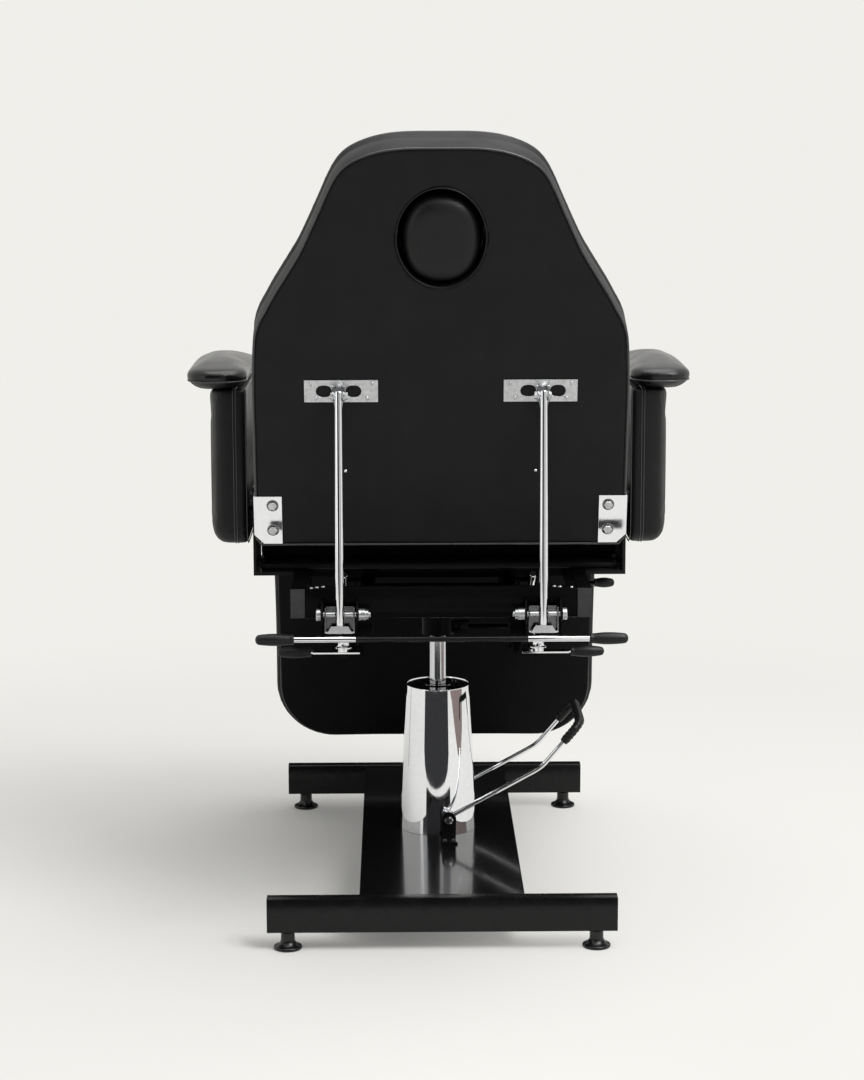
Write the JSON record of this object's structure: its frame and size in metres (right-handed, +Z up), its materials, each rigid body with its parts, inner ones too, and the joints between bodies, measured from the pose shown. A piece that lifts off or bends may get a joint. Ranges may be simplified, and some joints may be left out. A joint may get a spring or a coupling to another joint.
{
  "type": "podiatry chair",
  "caption": "Padded treatment chair on a foot-pumped column: reclining back with a plugged face opening, lifting leg rest, swing-up armrests, H-shaped base on levelling feet.",
  "frame": {"origin": "middle of the footprint of the whole chair at rest, on the floor", "axes": "+Z up, +Y the way the sitter faces, +X towards the side with the pump pedal (the sitter's right)"},
  "size_m": [0.852, 0.936, 1.3314],
  "materials": {
    "black_paint": "glossy black powder-coated steel",
    "upholstery": "black synthetic leather over foam, soft sheen",
    "board": "plywood board covered in the same black synthetic leather",
    "chrome": "polished chrome plate",
    "zinc": "bright zinc-plated steel",
    "rubber": "matt black rubber",
    "black_plastic": "matt black plastic"
  },
  "bodies": {
    "base": {"base_bar_rear": "black_paint", "base_bar_front": "black_paint", "base_plate": "black_paint", "pump_base": "black_paint", "pump_cylinder": "black_paint", "pump_shroud": "chrome", "shroud_cap": "black_paint", "pedal_bracket": "black_paint"},
    "foot_rear_left": {"levelling_foot_rear_left": "black_plastic"},
    "foot_rear_right": {"levelling_foot_rear_right": "black_plastic"},
    "foot_front_left": {"levelling_foot_front_left": "black_plastic"},
    "foot_front_right": {"levelling_foot_front_right": "black_plastic"},
    "pedal": {"pedal_yoke": "chrome", "pedal_grip": "rubber"},
    "mast": {"piston_rod": "chrome"},
    "seat_frame": {"swivel_hub": "black_paint", "side_rail_left": "black_paint", "side_rail_right": "black_paint", "inner_rail_left": "black_paint", "inner_rail_right": "black_paint", "rear_cross_member": "black_paint", "middle_cross_member": "black_paint", "front_cross_member": "black_paint", "seat_board": "board", "seat_cushion": "upholstery", "side_bracket_left": "black_paint", "side_bracket_right": "black_paint", "strut_bracket_left": "chrome", "strut_bracket_right": "chrome"},
    "lock_lever": {"swivel_lock_lever": "black_paint", "swivel_lock_grip": "rubber"},
    "armrest_left": {"arm_panel_left": "upholstery", "arm_pad_left": "upholstery"},
    "armrest_right": {"arm_panel_right": "upholstery", "arm_pad_right": "upholstery"},
    "back": {"back_board": "board", "back_cushion": "upholstery", "corner_bracket_left": "chrome", "corner_bracket_right": "chrome", "strut_plate_left": "zinc", "strut_plate_right": "zinc"},
    "plug": {"face_plug": "upholstery"},
    "back_strut_left": {"back_strut_left": "chrome"},
    "back_strut_right": {"back_strut_right": "chrome"},
    "strut_clamp_left": {"strut_clamp_left": "chrome"},
    "strut_clamp_right": {"strut_clamp_right": "chrome"},
    "release": {"back_release_bar": "chrome", "release_grip_left": "rubber", "release_grip_right": "rubber"},
    "leg_lever_left": {"leg_lever_left": "chrome", "leg_lever_grip_left": "rubber"},
    "leg_lever_right": {"leg_lever_right": "chrome", "leg_lever_grip_right": "rubber"},
    "leg_rest": {"leg_board": "board", "leg_cushion": "upholstery"},
    "leg_strut_left": {"leg_strut_left": "chrome"},
    "leg_strut_right": {"leg_strut_right": "chrome"},
    "leg_clamp_left": {"leg_clamp_left": "black_paint"},
    "leg_clamp_right": {"leg_clamp_right": "black_paint"}
  },
  "joints": [
    {"name": "foot_turn_rear_left", "type": "hinge", "parent": "base", "child": "foot_rear_left", "pos_m": [-0.256, -0.43892, 0], "axis": [0, 0, 1], "continuous": true},
    {"name": "foot_turn_rear_right", "type": "hinge", "parent": "base", "child": "foot_rear_right", "pos_m": [0.256, -0.43892, 0], "axis": [0, 0, 1], "continuous": true},
    {"name": "foot_turn_front_left", "type": "hinge", "parent": "base", "child": "foot_front_left", "pos_m": [-0.256, 0.41208, 0], "axis": [0, 0, 1], "continuous": true},
    {"name": "foot_turn_front_right", "type": "hinge", "parent": "base", "child": "foot_front_right", "pos_m": [0.256, 0.41208, 0], "axis": [0, 0, 1], "continuous": true},
    {"name": "pedal_press", "type": "hinge", "parent": "base", "child": "pedal", "pos_m": [0.018, -0.01342, 0.124], "axis": [0, 1, 0], "range_deg": [0, 22], "stiffness_Nm_per_rad": 12, "springref_deg": -10},
    {"name": "column_lift", "type": "slide", "parent": "base", "child": "mast", "axis": [0, 0, 1], "range_m": [-0.05, 0.09]},
    {"name": "seat_swivel", "type": "hinge", "parent": "mast", "child": "seat_frame", "pos_m": [0, -0.01342, 0.5], "axis": [0, 0, 1], "continuous": true},
    {"name": "swivel_lock_turn", "type": "hinge", "parent": "seat_frame", "child": "lock_lever", "pos_m": [0.046, -0.01342, 0.455], "axis": [0, 0, -1], "range_deg": [0, 25]},
    {"name": "arm_swing_left", "type": "hinge", "parent": "seat_frame", "child": "armrest_left", "pos_m": [-0.36, -0.12342, 0.69], "axis": [1, 0, 0], "range_deg": [0, 90]},
    {"name": "arm_swing_right", "type": "hinge", "parent": "seat_frame", "child": "armrest_right", "pos_m": [0.36, -0.12342, 0.69], "axis": [1, 0, 0], "range_deg": [0, 90]},
    {"name": "back_recline", "type": "hinge", "parent": "seat_frame", "child": "back", "pos_m": [0, -0.21342, 0.723], "axis": [1, 0, 0], "range_deg": [0, 76]},
    {"name": "face_plug_slide", "type": "slide", "parent": "back", "child": "plug", "axis": [0, 0.9703, 0.2419], "range_m": [0, 0.12]},
    {"name": "back_strut_turn_left", "type": "hinge", "parent": "back", "child": "back_strut_left", "pos_m": [-0.166, -0.39423, 0.91496], "axis": [1, 0, 0], "range_deg": [-38, 0]},
    {"name": "back_strut_turn_right", "type": "hinge", "parent": "back", "child": "back_strut_right", "pos_m": [0.166, -0.39423, 0.91496], "axis": [1, 0, 0], "range_deg": [-38, 0]},
    {"name": "strut_clamp_turn_left", "type": "hinge", "parent": "seat_frame", "child": "strut_clamp_left", "pos_m": [-0.166, -0.42072, 0.56], "axis": [1, 0, 0], "range_deg": [0, 38]},
    {"name": "strut_clamp_turn_right", "type": "hinge", "parent": "seat_frame", "child": "strut_clamp_right", "pos_m": [0.166, -0.42072, 0.56], "axis": [1, 0, 0], "range_deg": [0, 38]},
    {"name": "back_release_turn", "type": "hinge", "parent": "seat_frame", "child": "release", "pos_m": [0, -0.40172, 0.515], "axis": [-1, 0, 0], "range_deg": [0, 10], "stiffness_Nm_per_rad": 2, "springref_deg": -17.19},
    {"name": "leg_lever_turn_left", "type": "hinge", "parent": "seat_frame", "child": "leg_lever_left", "pos_m": [-0.162, -0.34342, 0.4805], "axis": [0, 0, 1], "range_deg": [0, 18], "stiffness_Nm_per_rad": 1, "springref_deg": -11.46},
    {"name": "leg_lever_turn_right", "type": "hinge", "parent": "seat_frame", "child": "leg_lever_right", "pos_m": [0.162, -0.34342, 0.4805], "axis": [0, 0, -1], "range_deg": [0, 18], "stiffness_Nm_per_rad": 1, "springref_deg": -11.46},
    {"name": "leg_raise", "type": "hinge", "parent": "seat_frame", "child": "leg_rest", "pos_m": [0, 0.28658, 0.588], "axis": [1, 0, 0], "range_deg": [0, 80]},
    {"name": "leg_strut_turn_left", "type": "hinge", "parent": "leg_rest", "child": "leg_strut_left", "pos_m": [-0.165, 0.31226, 0.33867], "axis": [1, 0, 0], "range_deg": [-40, 0]},
    {"name": "leg_strut_turn_right", "type": "hinge", "parent": "leg_rest", "child": "leg_strut_right", "pos_m": [0.165, 0.31226, 0.33867], "axis": [1, 0, 0], "range_deg": [-40, 0]},
    {"name": "leg_clamp_turn_left", "type": "hinge", "parent": "seat_frame", "child": "leg_clamp_left", "pos_m": [-0.165, 0.06545, 0.47], "axis": [1, 0, 0], "range_deg": [0, 40]},
    {"name": "leg_clamp_turn_right", "type": "hinge", "parent": "seat_frame", "child": "leg_clamp_right", "pos_m": [0.165, 0.06545, 0.47], "axis": [1, 0, 0], "range_deg": [0, 40]}
  ],
  "couplings": [
    {"joint": "back_strut_turn_left", "follows": "back_recline", "ratio": -0.5},
    {"joint": "back_strut_turn_right", "follows": "back_recline", "ratio": -0.5},
    {"joint": "strut_clamp_turn_left", "follows": "back_recline", "ratio": 0.5},
    {"joint": "strut_clamp_turn_right", "follows": "back_recline", "ratio": 0.5},
    {"joint": "leg_strut_turn_left", "follows": "leg_raise", "ratio": -0.5},
    {"joint": "leg_strut_turn_right", "follows": "leg_raise", "ratio": -0.5},
    {"joint": "leg_clamp_turn_left", "follows": "leg_raise", "ratio": 0.5},
    {"joint": "leg_clamp_turn_right", "follows": "leg_raise", "ratio": 0.5}
  ]
}
